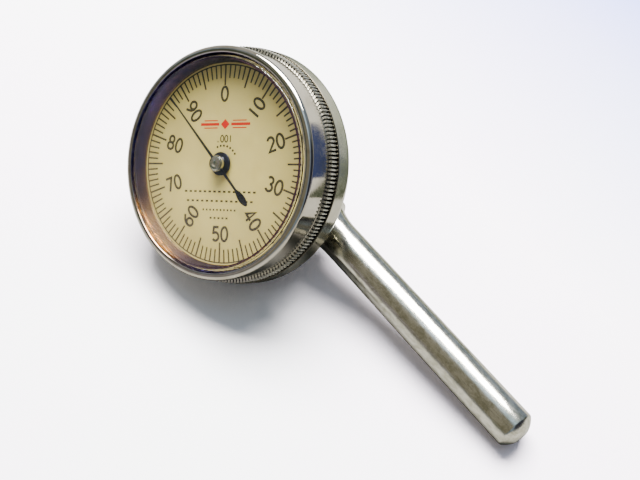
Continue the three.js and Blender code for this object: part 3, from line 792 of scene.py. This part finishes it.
def stem():
    """The round holding stem: a flared root, a long ground shank and a domed end."""
    edge, dome, pip = 58.8, 1.6, 1.2
    radius = (STEM_RADIUS ** 2 + dome ** 2) / (2 * dome)
    centre = edge + dome - radius
    flare, flare_start, flare_end = 1.45, 13.4, 18.0
    root = []
    for i in range(17):
        turn = math.pi / 2 * i / 16
        root.append((STEM_RADIUS + flare * (1 - math.sin(turn)),
                     flare_start + (flare_end - flare_start) * (1 - math.cos(turn))))
    shank = [(STEM_RADIUS, flare_end + (edge - 0.12 - flare_end) * i / 12) for i in range(1, 13)]
    rim = math.acos(STEM_RADIUS / radius)
    top = math.acos(pip / radius)
    end = arc_points((0, centre), radius, rim + 0.03, top, 16)
    tenon, tenon_end, root_start = 2.6, 9.0, 9.9
    profile = [(0, tenon_end), (tenon, tenon_end), (tenon, root_start),
               (STEM_RADIUS + flare, root_start), *root, *shank, *end, (0, end[-1][1])]
    Shape(turned(profile, ROUND_STEM, closed=False)).place(
        "stem_rod", "case", STEM_STEEL, "ground_stem", ["holding_stem"], local=STEM_AXES, sharp=28)


def barrel_and_plunger():
    """The tube that guides the plunger, and the ball contact screwed into the plunger's end."""
    bore, end, shoulder = 1.56, -22.4, BARREL_SEAT - 0.05
    barrel = filleted([(bore, end, 0.08), (STEM_RADIUS, end, 0.3), (STEM_RADIUS, shoulder),
                       (2.6, shoulder), (2.6, -16.5), (bore, -16.5)])
    Shape(turned(barrel, ROUND_STEM)).place(
        "barrel_tube", "case", STEEL, "hardened_steel", ["plunger_barrel"])
    ball_centre, ball_radius = -27.0, 1.0
    ball = arc_points((0, ball_centre), ball_radius, -math.pi / 2, math.radians(35), 16)
    ball[0] = (0, ball_centre - ball_radius)
    collar, seat, thread, thread_end = 1.4, -26.25, 0.7, -24.6
    contact = [*ball, *filleted([ball[-1], (collar, -26.4, 0.08), (collar, seat), (thread, seat),
                                 (thread, thread_end), (0, thread_end)], closed=False)[1:]]
    Shape(turned(contact, ROUND_SMALL, closed=False)).place(
        "contact_ball", "plunger", STEEL, "hardened_steel", ["contact_point"])


# ------------------------------------------------------------------ carried-over CAD nodes

SLOT_MATERIALS = {
    "polished_bezel": NICKEL,
    "satin_case": SATIN,
    "ground_stem": STEM_STEEL,
    "hardened_steel": STEEL,
    "movement_brass": BRASS,
    "blued_steel": BLUED,
    "printed_dial": ENAMEL,
    "clear_crystal": CRYSTAL,
    "ruby_jewel": RUBY,
}


def paint_nodes():
    slots = {row["node"]: row["material_slot"] for row in frame["record"]["subparts"]}
    for name, node in frame["nodes"].items():
        node.data.materials.clear()
        node.data.materials.append(SLOT_MATERIALS[slots[name]])


# ------------------------------------------------------------------ floor, light and camera

def flat_patch(name, corners, height, material):
    """A flat staging patch over (x, y) corners in metres."""
    mesh = bpy.data.meshes.new(name)
    mesh.from_pydata([(x, y, height) for x, y in corners], [], [tuple(range(len(corners)))])
    mesh.materials.append(material)
    patch = bpy.data.objects.new(name, mesh)
    bpy.context.collection.objects.link(patch)
    return patch


def floor():
    """A broad floor just under the lowest point of the part."""
    reach = 2.0
    corners = [(-reach, -reach), (reach, -reach), (reach, reach), (-reach, reach)]
    flat_patch("pale_floor", corners, cad_box[0].z - 0.00005, paper())


def navy_cloth():
    m = Material("navy_cloth", axes=Matrix.Identity(4), Roughness=0.9, Specular_IOR_Level=0.0)
    m.set("Base Color", m.blend(m.noise(m.spot(), 0.05), (0.009, 0.013, 0.034, 1),
                                (0.012, 0.016, 0.042, 1)))
    return m.material


def green_board():
    """Dark green near the part, grey-green further off."""
    m = Material("green_board", axes=Matrix.Identity(4), Roughness=0.9, Specular_IOR_Level=0.0)
    away = m.node("ShaderNodeSeparateXYZ", None, Vector=m.spot()).outputs[1]
    m.set("Base Color", m.blend(m.between(away, 35, 120), (0.02, 0.024, 0.016, 1),
                                (0.1, 0.108, 0.086, 1)))
    return m.material


def mirrored_patches():
    """What the right side mirrors: navy in the bezel's side band, and green in the case."""
    navy = [(0.021, 0.054), (0.16, 0.048), (0.16, 0.25), (-0.014, 0.208), (0.006, 0.155),
            (0.0185, 0.1)]
    green = [(0.02, 0.03), (0.0205, 0.074), (0.0125, 0.115), (0.004, 0.15), (-0.015, 0.178),
             (-0.05, 0.184), (-0.076, 0.11), (-0.067, 0.04)]
    for patch in (
        flat_patch("navy_cloth", navy, 0.0005, navy_cloth()),
        flat_patch("green_board", green, 0.0006, green_board()),
    ):
        patch.visible_camera = False
        patch.visible_shadow = False
        patch.visible_diffuse = False


class Room:
    """The world as one tint with soft discs of directions, each painted over those before it."""

    def __init__(self, tint):
        world = bpy.data.worlds.new("room")
        bpy.context.scene.world = world
        world.use_nodes = True
        self.tree = world.node_tree
        self.direction = self.tree.nodes.new("ShaderNodeTexCoord").outputs["Generated"]
        base = self.tree.nodes.new("ShaderNodeRGB")
        base.outputs[0].default_value = tint
        self.shade = base.outputs[0]

    def disc(self, towards, inner, outer, tint):
        """Paints tint within inner degrees of a direction, fading out by outer degrees."""
        dot = self.tree.nodes.new("ShaderNodeVectorMath")
        dot.operation = "DOT_PRODUCT"
        self.tree.links.new(self.direction, dot.inputs[0])
        dot.inputs[1].default_value = Vector(towards).normalized()
        share = self.tree.nodes.new("ShaderNodeMapRange")
        share.interpolation_type = "SMOOTHSTEP"
        share.inputs["From Min"].default_value = math.cos(math.radians(outer))
        share.inputs["From Max"].default_value = math.cos(math.radians(inner))
        self.tree.links.new(dot.outputs["Value"], share.inputs["Value"])
        mix = self.tree.nodes.new("ShaderNodeMix")
        mix.data_type = "RGBA"
        self.tree.links.new(share.outputs[0], mix.inputs["Factor"])
        self.tree.links.new(self.shade, mix.inputs[6])
        mix.inputs[7].default_value = tint
        self.shade = mix.outputs[2]

    def finish(self):
        self.tree.links.new(self.shade, self.tree.nodes["Background"].inputs["Color"])


def surroundings():
    """A grey-blue room, with soft patches of what the metal mirrors."""
    room = Room((0.33, 0.41, 0.52, 1))
    room.disc((0.6, 0.8, 0.05), 14, 34, (0.17, 0.19, 0.15, 1))      # dark green, far and low
    room.disc((-1.0, 0.2, 0.35), 20, 45, (0.75, 0.74, 0.68, 1))     # a pale wall to the left
    room.disc((0, 0, 1), 14, 32, (1.0, 1.35, 1.7, 1))               # the bright ceiling
    room.disc((0, -0.75, 0.66), 30, 46, (0.33, 0.31, 0.23, 1))      # dull brown above the front
    room.disc((0.85, 0.3, 0.35), 24, 36, (0.045, 0.05, 0.08, 1))    # navy to the right
    room.disc((-0.5, -0.85, 0.12), 10, 22, (0.42, 0.38, 0.4, 1))    # grey, low in front
    room.disc((-0.5, -0.76, 0.4), 7, 13, (0.12, 0.145, 0.11, 1))    # dark green above the grey
    room.finish()


def area_light(name, place, target, size, power, tint):
    light = bpy.data.lights.new(name, "AREA")
    light.shape = "RECTANGLE"
    light.size, light.size_y = size
    light.energy = power
    light.color = tint
    lamp = bpy.data.objects.new(name, light)
    bpy.context.collection.objects.link(lamp)
    lamp.location = place
    lamp.rotation_mode = "QUATERNION"
    lamp.rotation_quaternion = (Vector(target) - Vector(place)).to_track_quat("-Z", "Y")


def lights():
    """One large panel, high behind the part."""
    area_light("window_panel", (-0.16, 0.18, 0.45), (0, 0, 0.01), (0.42, 0.3), 26.0,
               (1.0, 0.99, 0.97))


CAMERA_PLACE = Vector((0.0700, -0.0558, 0.1322))
CAMERA_TARGET = Vector((-0.00272, 0.00255, 0.01161))
CAMERA_ROLL = math.radians(0.25)


def camera():
    """The main view, from above the right-hand front."""
    data = bpy.data.cameras.new("camera")
    data.sensor_width = 36
    data.lens = 54
    data.clip_start = 0.005
    seen_from = bpy.data.objects.new("camera", data)
    bpy.context.collection.objects.link(seen_from)
    look = (CAMERA_TARGET - CAMERA_PLACE).to_track_quat("-Z", "Y").to_matrix().to_4x4()
    roll = Matrix.Rotation(CAMERA_ROLL, 4, "Z")
    seen_from.matrix_world = Matrix.Translation(CAMERA_PLACE) @ look @ roll
    bpy.context.scene.camera = seen_from


paint_nodes()
camera()
bezel()
coin_edge()
crystal()
dial()
graduations()
numerals()
ornaments()
edge_grime()
pointer()
case()
housing()
stem()
barrel_and_plunger()
floor()
mirrored_patches()
surroundings()
lights()
